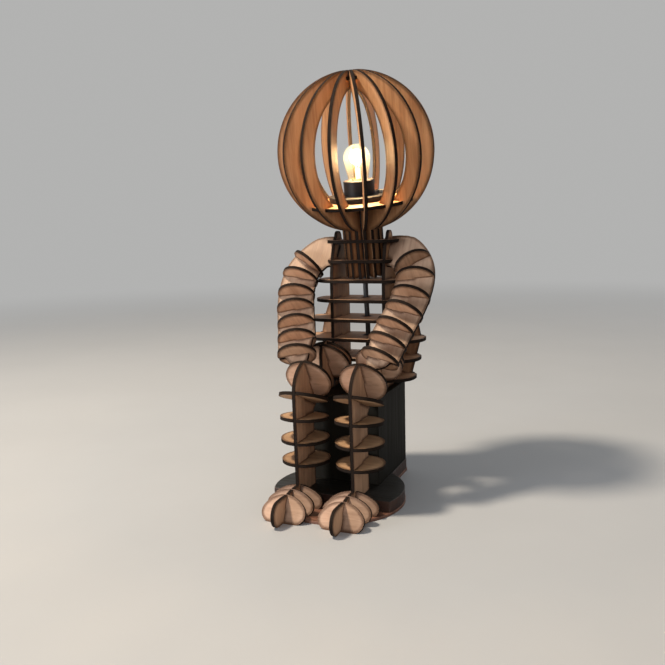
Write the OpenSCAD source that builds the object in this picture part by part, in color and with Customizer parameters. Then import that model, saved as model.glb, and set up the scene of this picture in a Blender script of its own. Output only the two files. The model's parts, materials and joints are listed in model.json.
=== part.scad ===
// Sitting figure table lamp, built from flat laser-cut sheets that slot into each other.
// A ribbed globe shade stands on a ribbed stem in the torso, the torso and the legs
// sit on a small box seat, and the feet stand on a thin base board.

/* [Sheet] */
// Thickness of the wood sheet
sheet = 3; // [2.8:0.1:3.2]
// Clearance on each side of a half-lap slot
slot_gap = 0.05; // [0.03:0.01:0.1]

/* [Head] */
// Radius of the globe shade
head_r = 75.5; // [75:0.5:77]
// Forward lean of the head axis in degrees
head_lean = 10.5; // [9:0.5:11]
// Height of the globe centre above the floor
head_z = 324.4; // [323:0.2:326]
// Radius of the open space inside the ribs
open_r = 59.5; // [57:0.5:60]
// Radius of the shelf that carries the lampholder
shelf_r = 53; // [51:0.5:54]
// Radius of the ribbed stem
stem_r = 20; // [19:0.1:20.2]
// Radial clearance of the stem in the two neck plates
neck_gap = 0.1; // [0.05:0.01:0.15]

/* [Lamp] */
// Radius of the bulb glass
bulb_r = 13; // [12:0.5:14]
// Radius of the screw cap over its thread
cap_r = 6.9; // [6.8:0.05:6.95]
// Radius of the lampholder flange
flange_r = 30; // [26:0.5:31]
// Radius of the lampholder barrel
barrel_r = 15; // [14:0.5:16]
// Diameter of the inner cable
cable_d = 5; // [4:0.5:6]

/* [Torso] */
// Height of the middle of the top plate
top_plate_z = 239.5; // [239:0.1:240]
// Distance from plate to plate
plate_pitch = 19.4; // [19.3:0.05:19.4]
// Distance of each side slat from the middle plane
slat_x = 27; // [26.8:0.1:27.2]

/* [Arms] */
// Forward tilt of the arm plane from the vertical in degrees
arm_tilt = 38; // [37.5:0.1:38.5]
// Radius of an arm disc
arm_disc_r = 18.5; // [17.5:0.1:18.6]

/* [Legs] */
// Radius of a shin disc
shin_disc_r = 22.5; // [21:0.5:22.5]
// Front edge of the shin, measured back from the torso middle
shin_front = -111; // [-112:0.5:-110.5]

/* [Base] */
// Thickness of the base board
board_t = 2.5; // [2:0.5:3]
// Radius of the round front of the base board
board_r = 62; // [60:1:63]
// Half width of the seat box
seat_w = 35; // [34:0.5:36]
// Height of the plinth under the seat box
plinth_h = 10; // [8:0.5:13]

/* [Hidden] */
$fn = 96;

// Everything is laid out from the torso middle, then shifted so that the
// origin lies under the middle of the whole object.
toe_y = -163.5;
back_y = 30;
head_y = -12;
y_shift = -(toe_y + head_y + head_r - 0.04) / 2;
slot = sheet + 2 * slot_gap;
e = 0.01;

// Colours of lit wood, shaded wood, painted box and fittings.
wood_a = "#b07a4c";
wood_b = "#9a6a44";
wood_c = "#8a5c3c";
dark_red = "#5a3426";
black_paint = "#1d1c18";
black_plastic = "#161414";

// Head: ribs at equal angles, the first one turned a little from the exact front.
rib_n = 16;
head_turn = 2.4;
rib_step = 360 / rib_n;
hub_r = 9;
open_z = -1;
shelf_z = -46.5;
shelf_notch_r = 48;
crown_z = 67.5;
crown_r = 17;
crown_notch_r = 13;
plate3_top = top_plate_z - 2 * plate_pitch + sheet / 2;
// The stem ends where the front of its tilted end just clears plate 3.
stem_end = -(head_z - plate3_top - 0.1 - (stem_r + 0.06) * sin(head_lean)) / cos(head_lean);

// Lampholder heights on the head axis.
shelf_top = shelf_z + sheet / 2;
flange_h = 5;
barrel_top = -26;
cap_low = -43;
bulb_mid = 8 - bulb_r;
screw_a = head_turn + 1.5 * rib_step;

// Torso plates from the neck down: half width and corner radius of each.
plate_w = [36, 36, 48, 50, 58, 62, 57, 52];
plate_c = [22, 22, 24, 24, 24, 24, 24, 24];
plate_front = -21;
slat_front = -18;
slat_back = 28;
slat_mid = 5;
seat_z = 95.5;
function plate_z(k) = top_plate_z - (k - 1) * plate_pitch;

// Side boards: outer edge at each plate, and where its half-lap slot ends.
wing_y = 18;
wing_in = slat_x + sheet / 2 + 0.1;
wing_out = [0, 36, 37, 43, 50, 54, 49, 44];
function wing_mid(k) = (wing_in + wing_out[k - 1]) / 2;

// Arms: middle line in the arm plane, from the slat out and down to the hand.
arm_y = 5;
arm_z = 236;
arm_mid = [[24, -8], [41, -9], [54.5, -23.5], [59.6, -40], [58.8, -60], [55.2, -77],
  [49.9, -94.5], [45.4, -110.5], [41.2, -126.5], [37, -143]];
arm_half = 18.8;
hand_r = 14;
neck_lap = [32, 32];

// Legs: [back, up, tilt, radius] of each disc on the leg sheet.
leg_discs = [[-34, 123.5, -53, 23], [-24.5, 125, -53, 22], [-79, 114.5, -58, 22.3],
  [-92, 100.5, -22, 22.8], [-91, 81.5, -5, shin_disc_r], [-90.5, 61.4, 0, shin_disc_r],
  [-89.5, 41.2, 0, shin_disc_r]];
// Feet: [back, backward lean, half width, height, corner radius, foot height] of each oval disc.
// The first one stands on the table, in front of the base board.
foot_discs = [[-144.5, 28, 21, 24.5, 9.5, 0], [-128.5, 18, 22.5, 21.5, 8.5, board_t],
  [-110.5, 8, 24, 20, 7.5, board_t]];
hip_back = -21.6;

// Seat box and plinth.
seat_front_y = -62;
seat_back_y = 24;
plinth_top = board_t + plinth_h;
base_mid = -76;
base_cut = -99;
// Where the shin sheets cross the front edge of the base board.
board_edge = base_mid - sqrt(board_r * board_r - slat_x * slat_x) - 1;
tab = 3;

// Cable: from the lampholder down the head axis to the stem end, then straight
// down to the terminal block.
function head_point(h) = [0, head_y - h * sin(head_lean), head_z + h * cos(head_lean)];
cable_bend = head_point(stem_end + 10);
cable_low = [0, 14, plinth_top + 14.3];
function cable_at(z) = cable_bend[1] + (cable_low[1] - cable_bend[1])
  * (cable_bend[2] - z) / (cable_bend[2] - cable_low[2]);

// Smooth curve through a list of points.
function spline(p, i, u) = let(a = p[max(i - 1, 0)], b = p[i], c = p[i + 1],
  d = p[min(i + 2, len(p) - 1)])
  0.5 * (2 * b + (c - a) * u + (2 * a - 5 * b + 4 * c - d) * u * u
  + (3 * b - a - 3 * c + d) * u * u * u);
function unit(v) = v / norm(v);
function side(v) = [-v[1], v[0]];
function tangent(p, i) = unit(p[min(i + 1, len(p) - 1)] - p[max(i - 1, 0)]);

// ---------- placing ----------
module place() { translate([0, y_shift, 0]) children(); }
module head_frame() {
  place() translate([0, head_y, head_z]) rotate([head_lean, 0, 0]) children();
}
module upright(x, t = sheet) {
  // A sheet drawn as (back, up) and stood up at distance x from the middle plane.
  place() translate([x, 0, 0]) rotate([90, 0, 90])
    linear_extrude(t, center = true) children();
}
module arm_frame() {
  place() translate([0, arm_y, arm_z]) rotate([90 - arm_tilt, 0, 0]) children();
}
module sided(s) { if (s < 0) mirror([1, 0, 0]) children(); else children(); }

// ---------- head ----------
module rib_outline() {
  difference() {
    union() {
      intersection() {
        circle(r = head_r, $fn = 240);
        translate([hub_r, -head_r]) square([head_r, 2 * head_r]);
      }
      translate([hub_r, stem_end]) square([stem_r - hub_r, -stem_end - 60]);
    }
    intersection() {
      translate([0, open_z]) circle(r = open_r, $fn = 240);
      translate([0, shelf_top]) square([head_r, 2 * head_r]);
    }
    translate([0, shelf_z - slot / 2]) square([shelf_notch_r + slot_gap, slot]);
    translate([0, crown_z - slot / 2]) square([crown_notch_r + slot_gap, slot]);
  }
}
module head_rib(i) {
  color(i % 2 == 0 ? wood_a : wood_b) head_frame()
    rotate([0, 0, head_turn - 90 + rib_step * (i - 1)]) rotate([90, 0, 0])
    linear_extrude(sheet, center = true) rib_outline();
}
module slotted_disc(r, z, notch) {
  difference() {
    translate([0, 0, z - sheet / 2]) cylinder(h = sheet, r = r);
    for (i = [0 : rib_n - 1]) rotate([0, 0, head_turn - 90 + rib_step * i])
      translate([notch, -slot / 2, z - sheet]) cube([r, slot, 2 * sheet]);
  }
}
module crown_disc() {
  color(wood_b) head_frame() slotted_disc(crown_r, crown_z, crown_notch_r);
}
module lamp_shelf() {
  color(wood_a) head_frame() difference() {
    slotted_disc(shelf_r, shelf_z, shelf_notch_r);
    translate([0, 0, shelf_z - sheet]) cylinder(h = 2 * sheet, r = 4.5);
    for (a = [0, 180]) rotate([0, 0, a + screw_a]) translate([21.5, 0, shelf_z - sheet])
      cylinder(h = 2 * sheet, r = 1.6, $fn = 32);
  }
}

// ---------- lamp ----------
module lampholder_flange() {
  color(black_plastic) head_frame() difference() {
    translate([0, 0, shelf_top]) rotate_extrude() difference() {
      union() {
        square([flange_r, flange_h - 1.5]);
        square([flange_r - 1.5, flange_h]);
        translate([flange_r - 1.5, flange_h - 1.5]) circle(r = 1.5, $fn = 32);
      }
      translate([-50, -50]) square([50, 100]);
    }
    translate([0, 0, cap_low - 0.4]) cylinder(h = 20, r = cap_r + 0.4);
    translate([0, 0, shelf_top - 1]) cylinder(h = 20, r = 3.2);
    for (a = [0, 180]) rotate([0, 0, a + screw_a]) translate([21.5, 0, shelf_top - 1])
      cylinder(h = 10, r = 1.6, $fn = 32);
  }
}
module lampholder_barrel() {
  color(black_plastic) head_frame() difference() {
    translate([0, 0, shelf_top + flange_h]) rotate_extrude() union() {
      square([barrel_r, barrel_top - shelf_top - flange_h - 1.2]);
      square([barrel_r - 1.2, barrel_top - shelf_top - flange_h]);
      translate([barrel_r - 1.2, barrel_top - shelf_top - flange_h - 1.2])
        intersection() { circle(r = 1.2, $fn = 32); square(2); }
    }
    translate([0, 0, shelf_top]) cylinder(h = 40, r = cap_r + 0.06);
  }
}
module lampholder_screws() {
  color("#8c8a84") head_frame() for (a = [0, 180]) rotate([0, 0, a + screw_a])
    translate([21.5, 0, 0]) difference() {
      union() {
        translate([0, 0, shelf_top + flange_h]) cylinder(h = 2, r = 3, $fn = 48);
        translate([0, 0, shelf_z - sheet / 2 - 2]) cylinder(h = shelf_top + flange_h + 0.5
          - shelf_z + sheet / 2 + 2, r = 1.5, $fn = 32);
      }
      translate([-4, -0.4, shelf_top + flange_h + 1.1]) cube([8, 0.8, 2]);
    }
}
module bulb_solid(r, low, neck) {
  // A ball on a cone that narrows to the neck, both on the head axis.
  translate([0, 0, bulb_mid]) sphere(r = r, $fn = 96);
  translate([0, 0, low]) cylinder(h = bulb_mid - r * sin(8) - low, r1 = neck, r2 = r * cos(8));
}
module bulb_glass() {
  color("#fff2c4") head_frame() difference() {
    bulb_solid(bulb_r, barrel_top + 1, 10);
    bulb_solid(bulb_r - 0.8, barrel_top + 1.8, 9.2);
  }
}
module bulb_cap() {
  color("#b9a66b") head_frame() union() {
    translate([0, 0, cap_low + 4]) cylinder(h = barrel_top + 1 - cap_low - 4, r = cap_r);
    translate([0, 0, cap_low + 1.5]) cylinder(h = 3, r = cap_r - 1.6);
    translate([0, 0, cap_low]) cylinder(h = 2, r = 2.4);
  }
}
module bulb_filament() {
  color("#d8b25c") head_frame() union() {
    translate([0, 0, barrel_top + 1.8]) cylinder(h = 9, r = 2.4);
    for (x = [-4.4, 4.4]) {
      translate([0, 0, barrel_top + 9.8]) rotate([0, x > 0 ? 28 : -28, 0])
        cylinder(h = 11, r = 0.35, $fn = 16);
    }
    for (x = [-5.1, 5.1]) translate([x, 0, barrel_top + 19]) sphere(r = 0.8, $fn = 24);
    translate([0, 0, barrel_top + 19]) rotate([90, 0, 0]) rotate_extrude(angle = 180)
      translate([5.1, 0]) circle(r = 0.55, $fn = 24);
  }
}

// ---------- inner wiring ----------
module rod(a, b, d) {
  v = b - a;
  translate(a) rotate([0, acos(v[2] / norm(v)), atan2(v[1], v[0])])
    cylinder(h = norm(v), d = d, $fn = 48);
}
module inner_cable() {
  u = unit(cable_bend - head_point(0));
  v = unit(cable_low - cable_bend);
  color("#141414") place() union() {
    rod(head_point(shelf_z - sheet / 2 - 0.5), cable_bend + 2 * u, cable_d);
    rod(cable_bend - 2 * v, cable_low, cable_d);
  }
}
module terminal_block() {
  color("#d9d6cc") place() difference() {
    translate([-10, 6, plinth_top]) cube([20, 16 - 3.1, 14]);
    for (x = [-5, 5]) translate([x, 12, plinth_top + 9]) cylinder(h = 6, r = 2, $fn = 32);
  }
}
module outlet_bush() {
  color("#141414") place() translate([0, seat_back_y, plinth_top + 24])
    rotate([90, 0, 0]) difference() {
      union() {
        translate([0, 0, -3]) cylinder(h = 3, r = 7);
        translate([0, 0, -3]) cylinder(h = 3 + sheet + 1.5, r = 4.95);
      }
      translate([0, 0, -4]) cylinder(h = 12, r = 3.2);
    }
}

// ---------- torso ----------
module round_plate(w, y0, y1, r) {
  translate([-w + r, y0]) square([2 * (w - r), y1 - y0]);
  translate([-w, y0 + r]) square([2 * w, y1 - y0 - 2 * r]);
  for (x = [-w + r, w - r], y = [y0 + r, y1 - r]) translate([x, y]) circle(r = r);
}
module arm_slab(t) {
  // The whole plane of the arms as a thick sheet, used to cut the laps at the neck.
  translate([0, arm_y, arm_z]) rotate([90 - arm_tilt, 0, 0])
    translate([-120, -60, -t / 2]) cube([240, 90, t]);
}
module torso_plate(k) {
  z = plate_z(k);
  color(k % 2 == 0 ? wood_b : wood_a) place() difference() {
    translate([0, 0, z - sheet / 2]) linear_extrude(sheet)
      round_plate(plate_w[k - 1], plate_front, back_y, plate_c[k - 1]);
    for (s = [-1, 1]) translate([s * slat_x - slot / 2, slat_mid, z - sheet])
      cube([slot, 40, 2 * sheet]);
    if (k <= 2) translate([0, head_y, head_z]) rotate([head_lean, 0, 0])
      translate([0, 0, -160]) cylinder(h = 100, r = stem_r + 0.06 + neck_gap, $fn = 180);
    if (k > 2) translate([0, cable_at(z), z - sheet]) cylinder(h = 2 * sheet, r = cable_d / 2 + 2);
    if (k <= 2) for (s = [-1, 1]) intersection() {
      arm_slab(slot);
      translate([s > 0 ? neck_lap[k - 1] : -100, -100, z - 10])
        cube([100 - neck_lap[k - 1], 200, 20]);
    }
    if (k > 2) for (s = [-1, 1])
      translate([s > 0 ? wing_mid(k) : -wing_mid(k) - 60, wing_y - slot_gap, z - sheet])
        cube([60, slot, 2 * sheet]);
  }
}
module slat(s) {
  color(wood_c) difference() {
    union() {
      upright(s * slat_x) polygon([[slat_front, seat_z], [slat_front, 200],
        [slat_front + 0.8, 209], [slat_front + 2.4, 218], [slat_front + 4.6, 227],
        [slat_front + 7.4, 235], [slat_front + 11, 241.2], [-3, 245], [8, 245], [11, 241],
        [24, 241], [slat_back, 237], [slat_back, seat_z], [20, seat_z], [20, seat_z - tab],
        [8, seat_z - tab], [8, seat_z]]);
      upright(s * slat_x) translate([2.5, 243.5]) circle(r = 6.5);
    }
    place() for (k = [1 : 8]) translate([s * slat_x - 3, slat_front - 1, plate_z(k) - slot / 2])
      cube([6, slat_mid - slat_front + 1 + slot_gap, slot]);
    arm_frame() translate([s * slat_x - 3, -15.1, -slot / 2]) cube([6, 14.2, slot]);
  }
}
module side_board(s) {
  color(wood_b) sided(s) place() difference() {
    translate([0, wing_y + sheet, 0]) rotate([90, 0, 0]) linear_extrude(sheet)
      polygon([[wing_in, plate_z(8) - 5], [wing_out[7] - 4, plate_z(8) - 5],
        [wing_out[7], plate_z(8)],
        [wing_out[6], plate_z(7)], [wing_out[5], plate_z(6)], [wing_out[4], plate_z(5)],
        [wing_out[3], plate_z(4)], [wing_out[2], plate_z(3)],
        [wing_out[1], plate_z(2) - sheet / 2 - 0.05], [wing_in, plate_z(2) - sheet / 2 - 0.05]]);
    for (k = [3 : 8]) translate([wing_in - 1, wing_y - 2, plate_z(k) - slot / 2])
      cube([wing_mid(k) - wing_in + 1 + slot_gap, 8, slot]);
  }
}

// ---------- arms ----------
module arm_sheet() { linear_extrude(sheet, center = true) children(); }
module arm_strip() {
  n = 8;
  line = [for (i = [1 : 7], j = [0 : n - 1]) spline(arm_mid, i, j / n)];
  pts = concat(line, [arm_mid[8]]);
  m = len(pts) - 1;
  // One width all the way down, square to the middle line.
  dir = [for (i = [0 : m]) unit(pts[min(i + 1, m)] - pts[max(i - 1, 0)])];
  polygon(concat([for (i = [0 : m]) pts[i] + arm_half * side(dir[i])],
    [for (i = [m : -1 : 0]) pts[i] - arm_half * side(dir[i])]));
}
module arm_spine(s) {
  first = slat_x + sheet / 2 + 0.05;
  color(wood_c) sided(s) difference() {
    arm_frame() union() {
      difference() {
        union() {
          arm_sheet() arm_strip();
          arm_sheet() polygon([[20, 8.5], [36, 9.3], [44, 8.8], [51.5, 6.6], [56.5, 2],
            [56, -14], [50, -27.6], [36, -27], [20, -25]]);
          arm_sheet() translate(arm_mid[8] + [-1.5, 3]) circle(r = hand_r);
        }
        translate([first - 60, -100, -5]) cube([60, 200, 10]);
        translate([first - 60, -300, -5]) cube([60.4, 192, 10]);
        for (i = [2 : 8]) translate(arm_mid[i])
          rotate([0, 0, atan2(tangent(arm_mid, i)[1], tangent(arm_mid, i)[0])])
          translate([-slot / 2, -30, -5]) cube([slot, 30 + slot_gap, 10]);
      }
      translate([slat_x - sheet / 2, -15, -sheet / 2]) cube([sheet + 4, 14, sheet]);
    }
    place() for (k = [1, 2]) translate([0, -100, plate_z(k) - slot / 2])
      cube([neck_lap[k - 1] + slot_gap, 200, slot]);
  }
}
module arm_disc_set(s) {
  color(wood_a) sided(s) arm_frame() for (i = [2 : 8]) translate(arm_mid[i])
    rotate([0, 0, atan2(tangent(arm_mid, i)[1], tangent(arm_mid, i)[0])]) difference() {
      rotate([0, 90, 0]) cylinder(h = sheet, r = arm_disc_r, center = true);
      translate([-5, 0, -slot / 2]) cube([10, 30, slot]);
    }
}

// ---------- legs ----------
module leg_spine(s) {
  x = s * slat_x;
  color(wood_c) difference() {
    union() {
      upright(x) translate([shin_front + 24, 107]) circle(r = 26.5, $fn = 120);
      upright(x) polygon([[shin_front - 2.5, 107], [shin_front, board_t], [-73, board_t],
        [-73, 107]]);
      upright(x) polygon([[-90, 121], [-44, 119], [-44, seat_z], [-61.8, seat_z],
        [-61.8, seat_z + 2], [-75, seat_z + 2], [-86, 92]]);
      upright(x) polygon([[-50, seat_z], [-50, 133], [-48.6, 138], [-45, 142], [-40, 144.2],
        [-33, 144.4], [-27, 142], [hip_back, 137], [hip_back, seat_z], [-28, seat_z],
        [-28, seat_z - tab], [-48, seat_z - tab], [-48, seat_z]]);
      upright(x) translate([toe_y + 11.5, 11]) circle(r = 11.5);
      upright(x) polygon([[toe_y + 11.5, -5], [toe_y + 11.5, 22.5], [-143, 22.6],
        [-133, 21.7], [-121.5, board_t + 20.6], [-107.7, board_t + 19.8],
        [-100, board_t + 18.4], [-100, -5]]);
    }
    place() {
      translate([x - 5, -200, -20]) cube([10, 200, 20]);
      translate([x - 5, board_edge - 0.5, -20]) cube([10, 200, 20 + board_t]);
      translate([x - 5, 0, 0]) rotate([90, 0, 90]) {
        for (d = leg_discs) translate([d[0], d[1], 0]) rotate([0, 0, d[2]])
          translate([-slot_gap, -slot / 2, 0]) cube([30.5, slot, 10]);
        for (i = [0 : 1]) translate([foot_discs[i][0], foot_discs[i][5], 0])
          rotate([0, 0, -foot_discs[i][1]])
          translate([-slot / 2, foot_discs[i][3] / 2 - slot_gap, 0]) cube([slot, 30, 10]);
        translate([foot_discs[2][0], foot_discs[2][5], 0]) rotate([0, 0, -foot_discs[2][1]])
          translate([-slot / 2, -3, 0]) cube([slot, foot_discs[2][3] / 2 + 3 + slot_gap, 10]);
      }
    }
  }
}
module leg_disc_set(s) {
  color(wood_a) place() translate([s * slat_x, 0, 0]) for (d = leg_discs)
    difference() {
      translate([0, d[0], d[1]]) rotate([d[2], 0, 0]) difference() {
        cylinder(h = sheet, r = d[3], center = true);
        translate([-slot / 2, -60, -5]) cube([slot, 60, 10]);
      }
      translate([-50, hip_back, 90]) cube([100, 40, 60]);
    }
}
function arc(c, r, a, b, n) = [for (i = [0 : n]) let(t = a + (b - a) * i / n)
  c + r * [cos(t), sin(t)]];
module foot_oval(w, h, r) {
  // A large arc over the top that runs into a small arc at each lower corner.
  m = w - r;
  c = r - 0.9;
  big = (r * r - m * m - (c - h) * (c - h)) / (2 * (c - h + r));
  t = atan2(c - h + big, m);
  polygon(concat(arc([m, c], r, -90, t, 16), arc([0, h - big], big, t, 180 - t, 36),
    arc([-m, c], r, 180 - t, 270, 16)));
}
module foot_disc_set(s) {
  color(wood_a) place() translate([s * slat_x, 0, 0]) for (i = [0 : 2]) {
    f = foot_discs[i];
    difference() {
      translate([0, f[0], f[5]]) rotate([90 - f[1], 0, 0]) difference() {
        linear_extrude(sheet, center = true) foot_oval(f[2], f[3], f[4]);
        if (i < 2) translate([-slot / 2, -5, -5]) cube([slot, f[3] / 2 + 5, 10]);
        if (i == 2) translate([-slot / 2, f[3] / 2, -5]) cube([slot, 30, 10]);
      }
      translate([-50, f[0] - 30, f[5] - 20]) cube([100, 60, 20]);
    }
  }
}

// ---------- seat and base ----------
module seat_top() {
  color(black_paint) place() difference() {
    translate([-seat_w, seat_front_y, seat_z - sheet])
      cube([2 * seat_w, seat_back_y - seat_front_y, sheet]);
    for (s = [-1, 1]) {
      translate([s * slat_x - slot / 2, -48 - slot_gap, seat_z - 5])
        cube([slot, 20 + 2 * slot_gap, 10]);
      translate([s * slat_x - slot / 2, 8 - slot_gap, seat_z - 5])
        cube([slot, 12 + 2 * slot_gap, 10]);
    }
    translate([0, cable_at(seat_z), seat_z - 5]) cylinder(h = 10, r = cable_d / 2 + 2);
  }
}
module seat_wall(x0, y0, dx, dy) {
  translate([x0, y0, plinth_top]) cube([dx, dy, seat_z - sheet - plinth_top]);
}
module seat_front() {
  color(black_paint) place() seat_wall(-seat_w + sheet, seat_front_y, 2 * seat_w - 2 * sheet, sheet);
}
module seat_back() {
  color(black_paint) place() difference() {
    seat_wall(-seat_w + sheet, seat_back_y - sheet, 2 * seat_w - 2 * sheet, sheet);
    translate([0, seat_back_y + 5, plinth_top + 24]) rotate([90, 0, 0]) cylinder(h = 15, r = 5);
  }
}
module seat_left() {
  color(black_paint) place() seat_wall(seat_w - sheet, seat_front_y, sheet,
    seat_back_y - seat_front_y);
}
module seat_right() {
  color(black_paint) place() seat_wall(-seat_w, seat_front_y, sheet, seat_back_y - seat_front_y);
}
module base_outline(inset) {
  // A round front that runs into a straight part under the seat box.
  translate([0, base_mid]) circle(r = board_r - inset, $fn = 180);
  round_plate(seat_w + 2 - inset, base_mid, seat_back_y + 3 - inset, 6);
}
module plinth() {
  color(dark_red) place() difference() {
    translate([0, 0, board_t]) linear_extrude(plinth_h) base_outline(0.6);
    // Cut straight behind the feet, with a slot for each shin sheet.
    translate([-100, base_cut - 100, board_t - 5]) cube([200, 100, plinth_h + 10]);
    for (s = [-1, 1]) translate([s * slat_x - slot / 2, base_cut - 5, board_t - 5])
      cube([slot, -73 - base_cut + 5 + slot_gap, plinth_h + 10]);
  }
}
module base_board() {
  color(dark_red) place() linear_extrude(board_t) base_outline(0);
}

head_rib(1);  // head_rib_01
head_rib(2);  // head_rib_02
head_rib(3);  // head_rib_03
head_rib(4);  // head_rib_04
head_rib(5);  // head_rib_05
head_rib(6);  // head_rib_06
head_rib(7);  // head_rib_07
head_rib(8);  // head_rib_08
head_rib(9);  // head_rib_09
head_rib(10);  // head_rib_10
head_rib(11);  // head_rib_11
head_rib(12);  // head_rib_12
head_rib(13);  // head_rib_13
head_rib(14);  // head_rib_14
head_rib(15);  // head_rib_15
head_rib(16);  // head_rib_16
crown_disc();
lamp_shelf();
lampholder_flange();
lampholder_barrel();
lampholder_screws();
bulb_glass();
bulb_cap();
bulb_filament();
inner_cable();
terminal_block();
outlet_bush();
torso_plate(1);  // torso_plate_1
torso_plate(2);  // torso_plate_2
torso_plate(3);  // torso_plate_3
torso_plate(4);  // torso_plate_4
torso_plate(5);  // torso_plate_5
torso_plate(6);  // torso_plate_6
torso_plate(7);  // torso_plate_7
torso_plate(8);  // torso_plate_8
slat(1);  // left_slat
slat(-1);  // right_slat
side_board(1);  // left_side_board
side_board(-1);  // right_side_board
arm_spine(1);  // left_arm_spine
arm_spine(-1);  // right_arm_spine
arm_disc_set(1);  // left_arm_discs
arm_disc_set(-1);  // right_arm_discs
leg_spine(1);  // left_leg_spine
leg_spine(-1);  // right_leg_spine
leg_disc_set(1);  // left_leg_discs
leg_disc_set(-1);  // right_leg_discs
foot_disc_set(1);  // left_foot_discs
foot_disc_set(-1);  // right_foot_discs
seat_top();
seat_front();
seat_back();
seat_left();
seat_right();
plinth();
base_board();
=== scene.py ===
import json
import math

import bpy
import numpy as np
from mathutils import Matrix, Vector


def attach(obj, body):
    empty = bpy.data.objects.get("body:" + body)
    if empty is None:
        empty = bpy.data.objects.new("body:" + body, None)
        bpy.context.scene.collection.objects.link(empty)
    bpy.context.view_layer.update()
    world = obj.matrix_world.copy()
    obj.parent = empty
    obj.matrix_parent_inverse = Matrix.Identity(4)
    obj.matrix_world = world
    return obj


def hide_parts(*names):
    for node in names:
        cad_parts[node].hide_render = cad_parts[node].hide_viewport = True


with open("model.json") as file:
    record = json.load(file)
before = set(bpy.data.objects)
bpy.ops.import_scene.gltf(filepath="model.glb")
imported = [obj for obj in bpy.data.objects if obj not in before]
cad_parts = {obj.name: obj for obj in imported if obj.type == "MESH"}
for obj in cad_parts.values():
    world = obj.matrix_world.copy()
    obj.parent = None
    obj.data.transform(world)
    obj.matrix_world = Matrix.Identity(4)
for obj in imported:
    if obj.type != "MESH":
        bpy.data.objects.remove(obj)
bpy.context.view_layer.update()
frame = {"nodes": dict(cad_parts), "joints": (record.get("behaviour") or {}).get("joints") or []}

NODES = frame["nodes"]
S = bpy.context.scene

# The head's tilted axis, read from the joint that turns it.
HEAD = [j for j in frame["joints"] if j["name"] == "head_turn"][0]
AXIS = Vector(HEAD["axis"]).normalized()
CENTRE = Vector(HEAD["pos_m"])


def on_axis(h):
    """Point on the head's axis, h metres above the globe's centre."""
    return CENTRE + AXIS * h


# ---------------------------------------------------------------- camera
def make_camera():
    """The viewpoint: 735 mm away, turned 20 degrees to the figure's left, slightly above the middle."""
    a, dist, height, f = math.radians(20), 0.735, 0.259, 735.0
    off = 0.05002
    pitch = math.atan((332.5 - 222.0) / f)
    yaw = math.atan((364.8 - 332.5) * math.cos(pitch) / f)
    d = Vector((-math.sin(a), math.cos(a), 0))
    c, s = math.cos(yaw), math.sin(yaw)
    d = Vector((c * d.x - s * d.y, s * d.x + c * d.y, 0))
    fwd = Vector((d.x * math.cos(pitch), d.y * math.cos(pitch), -math.sin(pitch)))
    right = fwd.cross(Vector((0, 0, 1))).normalized()
    up = right.cross(fwd)
    r = math.radians(-1.5)
    right, up = right * math.cos(r) + up * math.sin(r), up * math.cos(r) - right * math.sin(r)
    cam = bpy.data.cameras.new("camera")
    cam.sensor_width = 36
    cam.lens = 36 * f / 665
    cam.clip_start = 0.01
    cam.clip_end = 100
    ob = bpy.data.objects.new("camera", cam)
    m = Matrix((right, up, -fwd)).transposed().to_4x4()
    m.translation = Vector((dist * math.sin(a), -dist * math.cos(a) + off, height))
    ob.matrix_world = m
    S.collection.objects.link(ob)
    S.camera = ob


make_camera()


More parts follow.
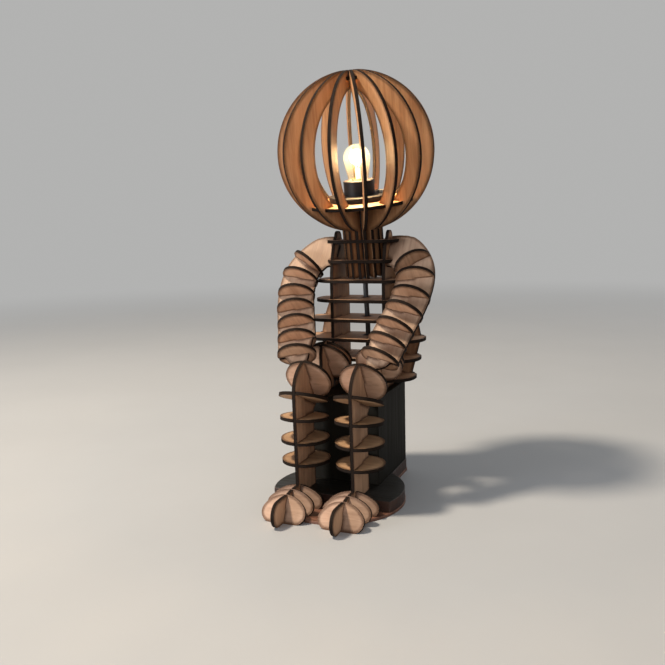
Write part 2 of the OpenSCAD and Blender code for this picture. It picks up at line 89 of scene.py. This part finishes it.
# ---------------------------------------------------------------- node helpers
class Tree:
    """A short way to build a material's node tree."""

    def __init__(self, name):
        self.mat = bpy.data.materials.new(name)
        self.mat.use_nodes = True
        self.t = self.mat.node_tree
        self.t.nodes.clear()
        self.out = self.t.nodes.new("ShaderNodeOutputMaterial")
        self.coord = self.t.nodes.new("ShaderNodeTexCoord")
        self.P = self.coord.outputs["Object"]
        self.N = self.coord.outputs["Normal"]

    def put(self, socket, v):
        if isinstance(v, bpy.types.NodeSocket):
            self.t.links.new(v, socket)
        elif v is not None:
            if hasattr(socket, "default_value"):
                d = socket.default_value
                if hasattr(d, "__len__") and not hasattr(v, "__len__"):
                    v = (v,) * len(d)
                if hasattr(d, "__len__") and len(d) == 4 and len(v) == 3:
                    v = (*v, 1)
                socket.default_value = v

    def math(self, op, a, b=None, c=None, clamp=False):
        n = self.t.nodes.new("ShaderNodeMath")
        n.operation = op
        n.use_clamp = clamp
        for i, v in enumerate((a, b, c)):
            if v is not None:
                self.put(n.inputs[i], v)
        return n.outputs[0]

    def vec(self, op, a, b=None, scale=None):
        n = self.t.nodes.new("ShaderNodeVectorMath")
        n.operation = op
        self.put(n.inputs[0], a)
        if b is not None:
            self.put(n.inputs[1], b)
        if scale is not None:
            self.put(n.inputs[3], scale)
        return n.outputs["Value"] if op in ("DOT_PRODUCT", "LENGTH", "DISTANCE") else n.outputs["Vector"]

    def combine(self, x, y, z):
        n = self.t.nodes.new("ShaderNodeCombineXYZ")
        for i, v in enumerate((x, y, z)):
            self.put(n.inputs[i], v)
        return n.outputs[0]

    def noise(self, vector, scale=1.0, detail=3.0, rough=0.5, distortion=0.0):
        n = self.t.nodes.new("ShaderNodeTexNoise")
        self.put(n.inputs["Vector"], vector)
        n.inputs["Scale"].default_value = scale
        n.inputs["Detail"].default_value = detail
        n.inputs["Roughness"].default_value = rough
        n.inputs["Distortion"].default_value = distortion
        return n.outputs["Fac"]

    def ramp(self, fac, stops, mode="LINEAR"):
        n = self.t.nodes.new("ShaderNodeValToRGB")
        n.color_ramp.interpolation = mode
        e = n.color_ramp.elements
        while len(e) > 1:
            e.remove(e[-1])
        for i, (p, c) in enumerate(stops):
            if not hasattr(c, "__len__"):
                c = (c, c, c)
            el = e[0] if i == 0 else e.new(p)
            el.position = p
            el.color = (*c, 1) if len(c) == 3 else c
        self.put(n.inputs["Fac"], fac)
        return n.outputs["Color"]

    def remap(self, v, a, b, c=0.0, d=1.0, smooth=True):
        n = self.t.nodes.new("ShaderNodeMapRange")
        n.interpolation_type = "SMOOTHSTEP" if smooth else "LINEAR"
        self.put(n.inputs["Value"], v)
        n.inputs["From Min"].default_value = a
        n.inputs["From Max"].default_value = b
        n.inputs["To Min"].default_value = c
        n.inputs["To Max"].default_value = d
        return n.outputs["Result"]

    def mix(self, fac, a, b, mode="MIX"):
        n = self.t.nodes.new("ShaderNodeMix")
        n.data_type = "RGBA"
        n.blend_type = mode
        n.clamp_factor = True
        self.put(n.inputs[0], fac)
        self.put(n.inputs[6], a)
        self.put(n.inputs[7], b)
        return n.outputs[2]

    def bump(self, height, strength, distance, normal=None):
        n = self.t.nodes.new("ShaderNodeBump")
        n.inputs["Strength"].default_value = strength
        n.inputs["Distance"].default_value = distance
        self.put(n.inputs["Height"], height)
        if normal is not None:
            self.put(n.inputs["Normal"], normal)
        return n.outputs[0]

    def principled(self, **k):
        n = self.t.nodes.new("ShaderNodeBsdfPrincipled")
        for name, v in k.items():
            self.put(n.inputs[name.replace("_", " ")], v)
        return n

    def finish(self, shader):
        self.t.links.new(shader, self.out.inputs["Surface"])
        return self.mat


def sheets_of(ob):
    """Every separate solid of a node as (centre, sheet normal, reach): the normal is that of its largest flat side."""
    me = ob.data
    n = len(me.vertices)
    co = np.empty(n * 3)
    me.vertices.foreach_get("co", co)
    co = co.reshape(-1, 3)
    key = np.round(co * 1e5).astype(np.int64)
    _, weld = np.unique(key, axis=0, return_inverse=True)
    weld = weld.ravel()
    parent = list(range(weld.max() + 1))

    def find(i):
        while parent[i] != i:
            parent[i] = parent[parent[i]]
            i = parent[i]
        return i

    polys = [tuple(weld[v] for v in p.vertices) for p in me.polygons]
    for p in polys:
        r = find(p[0])
        for v in p[1:]:
            parent[find(v)] = r
    groups = {}
    for p, face in zip(polys, me.polygons):
        groups.setdefault(find(p[0]), []).append(face)
    out = []
    for faces in groups.values():
        area = {}
        for f in faces:
            m = Vector(f.normal)
            big = max(range(3), key=lambda i: abs(m[i]))
            if m[big] < 0:
                m = -m
            k = tuple(round(c, 2) for c in m)
            s = area.setdefault(k, [0.0, Vector()])
            s[0] += f.area
            s[1] += m * f.area
        best = max(area.values(), key=lambda s: s[0])
        vs = np.array([co[v] for f in faces for v in f.vertices])
        mid = (vs.min(0) + vs.max(0)) / 2
        nrm = best[1].normalized()
        # centre the slab on its own thickness
        along = vs @ np.array(nrm)
        mid = mid + np.array(nrm) * ((along.min() + along.max()) / 2 - mid @ np.array(nrm))
        out.append((Vector(mid), nrm, float(np.linalg.norm(vs - mid, axis=1).max())))
    return out


def seed_of(name):
    return sum((i + 1) * ord(c) for i, c in enumerate(name)) % 997 / 997.0


# ---------------------------------------------------------------- wood
def wood(name, ob, light=(0.46, 0.262, 0.136), dark=(0.27, 0.138, 0.068), grain=None, halo=1.0, lit_above=None):
    """Light plywood with grain along one direction; cut edges and a halo beside them are burnt.
    Discs centred above the given height get a paler colour: painted light for the brighter light on the knees and
    thighs."""
    t = Tree(name)
    sheets = sheets_of(ob)
    seed = seed_of(ob.name)
    if grain is None:
        n0 = sheets[0][1]
        g = Vector((0, 0, 1)) if abs(n0.z) < 0.8 else Vector((1, 0, 0))
    else:
        g = Vector(grain)
    if len(sheets) == 1:
        g = (g - sheets[0][1] * g.dot(sheets[0][1])).normalized()
        w = sheets[0][1].cross(g).normalized()
        h = sheets[0][1]
    else:
        g = g.normalized()
        w = g.orthogonal().normalized()
        h = g.cross(w)
    # where the surface is a cut edge: inside that sheet's slab, and not facing along its normal
    edge = None
    depth = None
    pale = None
    for c, n, reach in sheets:
        away = t.math("ABSOLUTE", t.vec("DOT_PRODUCT", t.N, n))
        e = t.math("LESS_THAN", away, 0.75)
        d = t.vec("DOT_PRODUCT", t.vec("SUBTRACT", t.P, c), n)
        if len(sheets) > 1:
            inside = t.math("LESS_THAN", t.math("ABSOLUTE", d), 0.0017)
            near = t.math("LESS_THAN", t.vec("DISTANCE", t.P, c), reach + 0.0015)
            both = t.math("MULTIPLY", inside, near)
            e = t.math("MULTIPLY", e, both)
            d = t.math("MULTIPLY", d, both)
            if lit_above is not None and c.z > lit_above:
                pale = both if pale is None else t.math("ADD", pale, both, clamp=True)
        edge = e if edge is None else t.math("ADD", edge, e, clamp=True)
        depth = d if depth is None else t.math("ADD", depth, d)
    # grain coordinates: slow along the grain, quick across it
    along = t.vec("DOT_PRODUCT", t.P, g)
    across = t.vec("DOT_PRODUCT", t.P, w)
    through = t.vec("DOT_PRODUCT", t.P, h)
    wave = t.noise(t.combine(t.math("MULTIPLY", along, 9), t.math("MULTIPLY", across, 26), seed * 37), 1.0, 2.0)
    bent = t.math("ADD", across, t.math("MULTIPLY", wave, 0.006))
    q = t.combine(t.math("MULTIPLY", along, 14), t.math("MULTIPLY", bent, 340),
                  t.math("ADD", t.math("MULTIPLY", through, 60), seed * 91))
    streak = t.noise(q, 1.0, 4.0, 0.6)
    fine = t.noise(t.combine(t.math("MULTIPLY", along, 90), t.math("MULTIPLY", across, 1500), seed * 13), 1.0, 2.0, 0.5)
    broad = t.noise(t.combine(t.math("MULTIPLY", along, 11), t.math("MULTIPLY", across, 40), seed * 51), 1.0, 3.0, 0.55)
    mottle = t.noise(t.P, 42.0, 3.0, 0.6)
    f = t.math("ADD", t.math("MULTIPLY", streak, 0.45), t.math("MULTIPLY", broad, 0.55))
    f = t.remap(f, 0.34, 0.66)
    shade = 0.93 + 0.12 * seed_of(ob.name + "tone")
    face = t.mix(f, tuple(c * shade for c in dark), tuple(c * shade for c in light))
    # paler colour on the upper discs: painted light on the knees and thighs
    if pale is not None:
        face = t.mix(pale, face, t.mix(f, (0.40, 0.255, 0.175), (0.64, 0.435, 0.305)))
    face = t.mix(t.remap(fine, 0.56, 0.72, 0.0, 0.28), face, tuple(c * 0.55 for c in dark))
    face = t.mix(t.remap(mottle, 0.52, 0.75, 0.0, 0.25), face, (light[0] * 1.12, light[1] * 0.98, light[2] * 0.86))
    # smoke halo beside every cut edge
    bev = t.t.nodes.new("ShaderNodeBevel")
    bev.samples = 6
    bev.inputs["Radius"].default_value = 0.0046
    geo = t.t.nodes.new("ShaderNodeNewGeometry")
    bent_n = t.vec("DOT_PRODUCT", bev.outputs[0], geo.outputs["Normal"])
    near_edge = t.math("SUBTRACT", 1.0, bent_n)
    ragged = t.noise(t.P, 260.0, 3.0, 0.6)
    k = t.math("MULTIPLY", near_edge, t.remap(ragged, 0.25, 0.75, 0.6, 1.5))
    burn = t.ramp(k, [(0.0, 0.0), (0.003, 0.3), (0.02, 0.7), (0.08, 1.0)])
    burn = t.math("MULTIPLY", burn, 0.9 * halo)
    face = t.mix(burn, face, (0.046, 0.018, 0.0075))
    # burnt edge: char at both corners, a browner core between them
    core = t.math("ABSOLUTE", t.math("MULTIPLY", depth, 1000.0))
    core = t.remap(core, 0.55, 1.35, 1.0, 0.0)
    tick = t.noise(t.combine(t.math("MULTIPLY", along, 420), t.math("MULTIPLY", across, 420), t.math("MULTIPLY", through, 420)), 1.0, 3.0, 0.6)
    core = t.math("MULTIPLY", core, t.remap(tick, 0.3, 0.7, 0.35, 1.0))
    edge_col = t.mix(core, (0.0040, 0.0024, 0.0016), (0.013, 0.0068, 0.0038))
    col = t.mix(edge, face, edge_col)
    rough = t.math("ADD", t.remap(streak, 0.3, 0.7, 0.5, 0.66), t.math("MULTIPLY", edge, 0.25))
    height = t.math("ADD", t.math("MULTIPLY", fine, 0.5), t.math("MULTIPLY", streak, 0.5))
    nrm = t.bump(height, 0.25, 0.0004)
    sh = t.principled(Base_Color=col, Roughness=rough, Normal=nrm, Specular_IOR_Level=0.12)
    return t.finish(sh.outputs[0])


# ---------------------------------------------------------------- other finishes
def stained(name, base, vein, grain=(1, 0, 0), rough=(0.32, 0.5), coat=0.0, rub_and_highlight=0.35, spec=0.35, top=None):
    """Dark stained or painted board: grain shows through a little, and edges are lighter, partly rubbed wear and, where
    the amount is high as on the plinth, a painted highlight along a lit rim.
    """
    t = Tree(name)
    g = Vector(grain).normalized()
    w = g.orthogonal().normalized()
    h = g.cross(w)
    along = t.vec("DOT_PRODUCT", t.P, g)
    a2 = t.vec("DOT_PRODUCT", t.P, w)
    a3 = t.vec("DOT_PRODUCT", t.P, h)
    wave = t.noise(t.combine(t.math("MULTIPLY", along, 7), t.math("MULTIPLY", a2, 20), t.math("MULTIPLY", a3, 20)), 1.0, 2.0)
    q = t.combine(t.math("MULTIPLY", along, 10), t.math("MULTIPLY", t.math("ADD", a2, t.math("MULTIPLY", wave, 0.012)), 260),
                  t.math("MULTIPLY", t.math("ADD", a3, t.math("MULTIPLY", wave, 0.012)), 260))
    streak = t.noise(q, 1.0, 4.0, 0.6)
    cloud = t.noise(t.P, 30.0, 4.0, 0.6)
    col = t.mix(t.remap(streak, 0.35, 0.7), base, vein)
    col = t.mix(t.remap(cloud, 0.45, 0.75, 0.0, 0.4), col, tuple(c * 1.6 for c in vein))
    # an upward-facing top can take its own colour; on the plinth this is a near-black painted shadow of the seat box
    if top is not None:
        up = t.math("GREATER_THAN", t.vec("DOT_PRODUCT", t.N, (0, 0, 1)), 0.5)
        col = t.mix(up, col, top)
    bev = t.t.nodes.new("ShaderNodeBevel")
    bev.samples = 6
    bev.inputs["Radius"].default_value = 0.0011
    geo = t.t.nodes.new("ShaderNodeNewGeometry")
    k = t.math("SUBTRACT", 1.0, t.vec("DOT_PRODUCT", bev.outputs[0], geo.outputs["Normal"]))
    # lighter edges: rubbed wear, and on the plinth a painted highlight along its lit top rim
    rim_noise = t.noise(t.P, 320.0, 4.0, 0.65)
    k = t.math("MULTIPLY", t.remap(k, 0.05, 0.3), t.remap(rim_noise, 0.42, 0.62))
    col = t.mix(t.math("MULTIPLY", k, rub_and_highlight), col, tuple(min(1.0, c * 4 + 0.03) for c in vein))
    r = t.remap(streak, 0.3, 0.7, rough[0], rough[1])
    nrm = t.bump(streak, 0.22, 0.0004, bev.outputs[0])
    sh = t.principled(Base_Color=col, Roughness=r, Normal=nrm, Coat_Weight=coat, Specular_IOR_Level=spec)
    return t.finish(sh.outputs[0])


def moulded(name, base, rough=0.32, coat=0.2):
    """Moulded black plastic with a faint orange peel and dust."""
    t = Tree(name)
    peel = t.noise(t.P, 900.0, 3.0, 0.5)
    dust = t.noise(t.P, 120.0, 4.0, 0.65)
    col = t.mix(t.remap(dust, 0.5, 0.8, 0.0, 0.5), base, tuple(c * 2 + 0.004 for c in base))
    r = t.remap(dust, 0.3, 0.7, rough, rough + 0.16)
    bev = t.t.nodes.new("ShaderNodeBevel")
    bev.samples = 6
    bev.inputs["Radius"].default_value = 0.0005
    nrm = t.bump(peel, 0.12, 0.0002, bev.outputs[0])
    sh = t.principled(Base_Color=col, Roughness=r, Normal=nrm, Coat_Weight=coat, Specular_IOR_Level=0.22)
    return t.finish(sh.outputs[0])


def metal(name, base, rough=0.3, thread=False):
    t = Tree(name)
    n = t.noise(t.P, 500.0, 4.0, 0.6)
    col = t.mix(t.remap(n, 0.35, 0.7), base, tuple(c * 0.62 for c in base))
    r = t.remap(n, 0.3, 0.7, rough, rough + 0.2)
    if thread:
        up = t.vec("DOT_PRODUCT", t.P, AXIS)
        wave = t.math("SINE", t.math("MULTIPLY", up, 2 * math.pi / 0.0028))
        nrm = t.bump(wave, 0.8, 0.0005)
    else:
        nrm = t.bump(n, 0.1, 0.0002)
    sh = t.principled(Base_Color=col, Roughness=r, Metallic=1.0, Normal=nrm)
    return t.finish(sh.outputs[0])


def rubber(name, base):
    t = Tree(name)
    n = t.noise(t.P, 700.0, 3.0, 0.6)
    m = t.noise(t.P, 60.0, 3.0, 0.6)
    col = t.mix(t.remap(m, 0.4, 0.75, 0.0, 0.6), base, tuple(c * 2.2 + 0.006 for c in base))
    sh = t.principled(Base_Color=col, Roughness=t.remap(n, 0.3, 0.7, 0.42, 0.6), Normal=t.bump(n, 0.15, 0.0002))
    return t.finish(sh.outputs[0])


def lit_glass():
    """Clear glass filled with the filament's glow: brightest round the filament, paler to the neck."""
    t = Tree("lit_bulb_glass")
    middle = on_axis(-0.0035)
    d = t.vec("DISTANCE", t.P, middle)
    h = t.vec("DOT_PRODUCT", t.vec("SUBTRACT", t.P, middle), AXIS)
    n = t.noise(t.P, 60.0, 2.0, 0.5)
    glow = t.remap(h, -0.020, -0.001, 0.22, 1.0)
    glow = t.math("MULTIPLY", glow, t.remap(n, 0.3, 0.7, 0.9, 1.08))
    col = t.ramp(glow, [(0.0, (1.0, 0.46, 0.12)), (0.55, (1.0, 0.68, 0.27)), (1.0, (1.0, 0.8, 0.42))])
    em = t.t.nodes.new("ShaderNodeEmission")
    t.put(em.inputs["Color"], col)
    t.put(em.inputs["Strength"], t.math("MULTIPLY", glow, 0.36))
    gl = t.principled(Base_Color=(1.0, 0.93, 0.78), Roughness=0.05, Transmission_Weight=1.0, IOR=1.45)
    add = t.t.nodes.new("ShaderNodeAddShader")
    t.t.links.new(gl.outputs[0], add.inputs[0])
    t.t.links.new(em.outputs[0], add.inputs[1])
    return t.finish(add.outputs[0])


def filament():
    """Glass stem and wires below, and the glowing wire on top."""
    t = Tree("filament_mount")
    h = t.vec("DOT_PRODUCT", t.vec("SUBTRACT", t.P, on_axis(-0.0095)), AXIS)
    hot = t.remap(h, -0.0015, 0.001)
    n = t.noise(t.P, 800.0, 2.0, 0.5)
    col = t.mix(t.remap(n, 0.3, 0.7), (0.62, 0.5, 0.32), (0.8, 0.68, 0.46))
    sh = t.principled(Base_Color=col, Roughness=t.remap(n, 0.3, 0.7, 0.2, 0.34), Emission_Color=(1.0, 0.62, 0.24),
                      Emission_Strength=t.remap(hot, 0.0, 1.0, 2.0, 60.0))
    return t.finish(sh.outputs[0])


# ---------------------------------------------------------------- assign
def give(node, mat):
    ob = NODES[node]
    ob.data.materials.clear()
    ob.data.materials.append(mat)


# light and dark tone of the figure's boards, and of its palest ones; the feet's paler tone, the shins' darker tone and
# the arm spines' darker, greyer tone are copies of the same plywood painted for how light falls: painted light on the
# feet, painted shade on the shins and arms
BODY = (0.50, 0.310, 0.195), (0.29, 0.166, 0.098)
PALE = (0.46, 0.312, 0.228), (0.30, 0.190, 0.132)
SHIN = (0.42, 0.270, 0.158), (0.245, 0.145, 0.080)
ARM = (0.40, 0.282, 0.202), (0.265, 0.172, 0.118)
ARM_N = [s for s in sheets_of(NODES["left_arm_spine"])][0][1]
for name, ob in NODES.items():
    if name.startswith("head_rib") or name in ("crown_disc", "lamp_shelf"):
        give(name, wood("wood_" + name, ob, grain=AXIS if name.startswith("head") else (1, 0, 0)))
    elif name.startswith("torso_plate"):
        give(name, wood("wood_" + name, ob, *BODY, grain=(1, 0, 0)))
    elif name.endswith("slat") or name.endswith("side_board"):
        # the slats and side boards get a darker copy of the plywood: painted shade on their shadowed faces
        give(name, wood("wood_" + name, ob, (0.36, 0.205, 0.112), (0.20, 0.105, 0.055), grain=(0, 0, 1)))
    elif name.endswith("arm_spine"):
        give(name, wood("wood_" + name, ob, *ARM, grain=(0, -0.62, -0.78)))
    elif name.endswith("arm_discs"):
        give(name, wood("wood_" + name, ob, *BODY, grain=ARM_N))
    elif name.endswith("leg_spine"):
        give(name, wood("wood_" + name, ob, *BODY, grain=(0, 0, 1)))
    elif name.endswith("foot_discs"):
        give(name, wood("wood_" + name, ob, *PALE, grain=(1, 0, 0)))
    elif name.endswith("leg_discs"):
        # discs above 112 mm get a paler colour, painted light on the knees and thighs
        give(name, wood("wood_" + name, ob, *SHIN, grain=(1, 0, 0), lit_above=0.112))

for name in ("seat_top", "seat_front", "seat_back", "seat_left", "seat_right"):
    up = (0, 0, 1) if name != "seat_top" else (1, 0, 0)
    give(name, stained("black_paint_" + name, (0.0056, 0.0047, 0.0030), (0.0088, 0.0075, 0.0048), up, (0.6, 0.75), rub_and_highlight=0.2, spec=0.1))
# the plinth's near-black top is a painted shadow of the seat box, and its strongly lightened edges are a painted
# highlight along the lit rim
give("plinth", stained("stain_plinth", (0.026, 0.0115, 0.0078), (0.045, 0.0205, 0.0135), (1, 0, 0), (0.4, 0.6), 0.0, 0.6, top=(0.0085, 0.0072, 0.0048)))
give("base_board", stained("stain_base", (0.10, 0.043, 0.027), (0.17, 0.078, 0.05), (1, 0, 0), (0.4, 0.6), 0.0, 0.5))
give("lampholder_flange", moulded("black_flange", (0.0075, 0.0058, 0.0055), 0.45, 0.0))
give("lampholder_barrel", moulded("black_barrel", (0.0075, 0.0055, 0.0055), 0.42, 0.0))
give("lampholder_screws", metal("zinc_screws", (0.62, 0.6, 0.55), 0.3))
give("bulb_cap", metal("cap_brass", (0.7, 0.58, 0.34), 0.25, True))
give("bulb_glass", lit_glass())
give("bulb_filament", filament())


# ---------------------------------------------------------------- cable inside the torso
def cable_route():
    """Down the head's axis to the end of the stem, then through the holes of the plates to the terminal block."""
    top = on_axis(-0.0485)
    bend = on_axis(-0.11046)
    low = Vector((0, 0.06402, 0.0267))
    pts = []
    n = 36
    for i in range(n + 1):
        u = i / n
        z = top.z + (low.z - top.z) * u
        # one smooth turn round the bend instead of a corner
        s = 0.006
        up = top.y + (bend.y - top.y) * (top.z - z) / (top.z - bend.z)
        down = bend.y + (low.y - bend.y) * (bend.z - z) / (bend.z - low.z)
        k = (bend.z - z) / s
        w = 1 / (1 + math.exp(-max(-30.0, min(30.0, k))))
        slack = math.sin(math.pi * u) ** 2
        x = 0.0008 * slack * math.sin(2 * math.pi * 2.5 * u)
        y = up * (1 - w) + down * w + 0.0004 * slack * math.sin(2 * math.pi * 1.5 * u + 1.0)
        pts.append(Vector((x, y, z)))
    return pts


def make_cable():
    pts = cable_route()
    cu = bpy.data.curves.new("cable", "CURVE")
    cu.dimensions = "3D"
    sp = cu.splines.new("POLY")
    sp.points.add(len(pts) - 1)
    for q, v in zip(sp.points, pts):
        q.co = (*v, 1)
    cu.bevel_depth = 0.0025
    cu.bevel_resolution = 8
    cu.use_fill_caps = True
    ob = bpy.data.objects.new("cable", cu)
    S.collection.objects.link(ob)
    cu.materials.append(rubber("cable_sheath", (0.010, 0.010, 0.011)))
    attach(ob, "root")
    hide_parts("inner_cable")
    return ob


make_cable()
give("outlet_bush", rubber("bush_nylon", (0.012, 0.012, 0.012)))
give("terminal_block", moulded("terminal_nylon", (0.6, 0.58, 0.52), 0.4, 0.0))

for n in ("bulb_glass", "bulb_filament"):
    NODES[n].visible_shadow = False


# ---------------------------------------------------------------- floor
def plain(name, base, rough):
    """Pale board that fades far away into the colour of the backdrop, so no horizon line shows."""
    t = Tree(name)
    n = t.noise(t.P, 5.0, 4.0, 0.6)
    col = t.mix(t.remap(n, 0.3, 0.7), base, tuple(c * 0.97 for c in base))
    far = t.remap(t.vec("LENGTH", t.P), 0.7, 2.6)
    sh = t.principled(Base_Color=col, Roughness=rough, Specular_IOR_Level=0.2)
    em = t.t.nodes.new("ShaderNodeEmission")
    em.inputs["Color"].default_value = (*BACKDROP, 1)
    em.inputs["Strength"].default_value = BRIGHT
    mx = t.t.nodes.new("ShaderNodeMixShader")
    t.put(mx.inputs[0], far)
    t.t.links.new(sh.outputs[0], mx.inputs[1])
    t.t.links.new(em.outputs[0], mx.inputs[2])
    return t.finish(mx.outputs[0])


BACKDROP = (0.80, 0.80, 0.79)
BRIGHT = 0.56
me = bpy.data.meshes.new("floor")
me.from_pydata([(-30, -30, 0), (30, -30, 0), (30, 30, 0), (-30, 30, 0)], [], [(0, 1, 2, 3)])
floor = bpy.data.objects.new("floor", me)
S.collection.objects.link(floor)
me.materials.append(plain("floor", (0.335, 0.345, 0.36), 0.6))


# ---------------------------------------------------------------- light
def area(name, loc, target, size, power, color=(1, 1, 1)):
    li = bpy.data.lights.new(name, "AREA")
    li.shape = "DISK"
    li.size = size
    li.energy = power
    li.color = color
    ob = bpy.data.objects.new(name, li)
    S.collection.objects.link(ob)
    ob.location = loc
    d = Vector(target) - Vector(loc)
    ob.rotation_euler = d.to_track_quat("-Z", "Y").to_euler()
    return ob


# a lamp high on the figure's right throws the crisp shadows; the rest is weak fill
area("key", (-0.80, -0.44, 1.74), (0, 0, 0.22), 0.24, 54, (1.0, 0.86, 0.68))
area("fill", (0.9, -1.9, 0.7), (0, 0, 0.2), 1.4, 7, (0.97, 0.96, 1.0))
area("front", (-1.4, -1.65, 0.28), (0, 0, 0.15), 0.9, 42, (0.94, 0.955, 1.0))
area("back", (0.5, 1.5, 1.0), (0, 0, 0.25), 1.0, 3, (1, 0.98, 0.95))

# the lamp's own light, which moves with the bulb
li = bpy.data.lights.new("bulb_light", "POINT")
li.energy = 2.0
li.color = (1.0, 0.66, 0.32)
li.shadow_soft_size = 0.009
glow = bpy.data.objects.new("bulb_light", li)
S.collection.objects.link(glow)
glow.location = on_axis(-0.004)
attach(glow, "bulb")

world = bpy.data.worlds.new("studio")
S.world = world
world.use_nodes = True
bg = world.node_tree.nodes["Background"]
bg.inputs["Color"].default_value = (*BACKDROP, 1)
bg.inputs["Strength"].default_value = BRIGHT
S.view_settings.view_transform = "Standard"
S.view_settings.look = "None"
